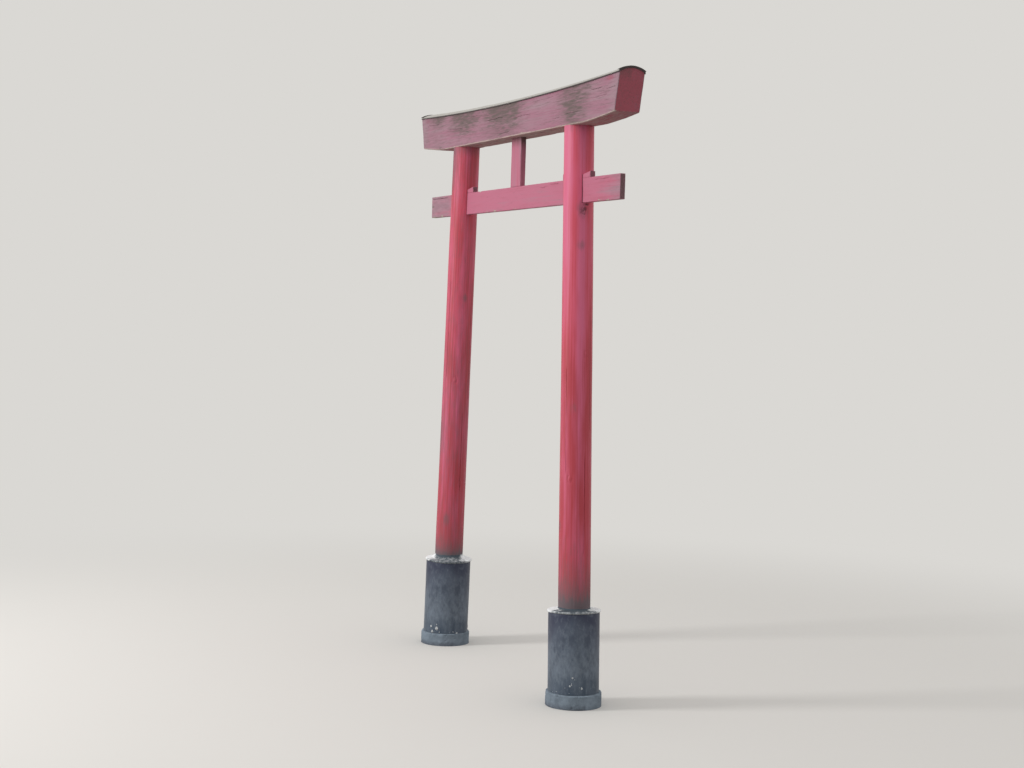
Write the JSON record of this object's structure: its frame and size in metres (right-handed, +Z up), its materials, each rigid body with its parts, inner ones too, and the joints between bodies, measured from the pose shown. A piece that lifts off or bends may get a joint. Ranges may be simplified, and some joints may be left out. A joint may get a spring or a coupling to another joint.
{
  "type": "torii gate",
  "caption": "Small timber shrine gate: leaning round posts in concrete-filled pipe footings, a wedged tie beam, a strut and a curved, rounded lintel under a sheet metal cap.",
  "frame": {"origin": "on the ground, midway between the two posts, at the centre of the gate's depth", "axes": "+X along the gate to its right-hand post, as seen from the front; +Y from the front to the back, through the passage; +Z up"},
  "size_m": [2.1418, 0.236, 2.619],
  "materials": {
    "post_paint": "satin red paint over a peeled log, dull at the foot",
    "beam_paint": "sun-faded matte rose paint",
    "lintel_paint": "chalky, worn rose paint with grey bare wood",
    "sheet_metal": "weathered sheet, dull on top and dark along its folded hem",
    "pipe": "smooth dark grey pipe, weathered",
    "concrete": "rough cast concrete",
    "mortar": "trowelled pale mortar"
  },
  "bodies": {
    "root": {"left_post": "post_paint", "right_post": "post_paint", "left_footing_pad": "concrete", "right_footing_pad": "concrete", "left_footing_sleeve": "pipe", "right_footing_sleeve": "pipe", "left_footing_fill": "concrete", "right_footing_fill": "concrete", "left_footing_collar": "mortar", "right_footing_collar": "mortar", "tie_beam": "beam_paint", "strut": "beam_paint", "wedge_left_outer": "beam_paint", "wedge_left_inner": "beam_paint", "wedge_right_inner": "beam_paint", "wedge_right_outer": "beam_paint", "lintel": "lintel_paint", "lintel_cap": "sheet_metal", "lintel_cap_left_end": "sheet_metal", "lintel_cap_right_end": "sheet_metal"}
  },
  "joints": []
}
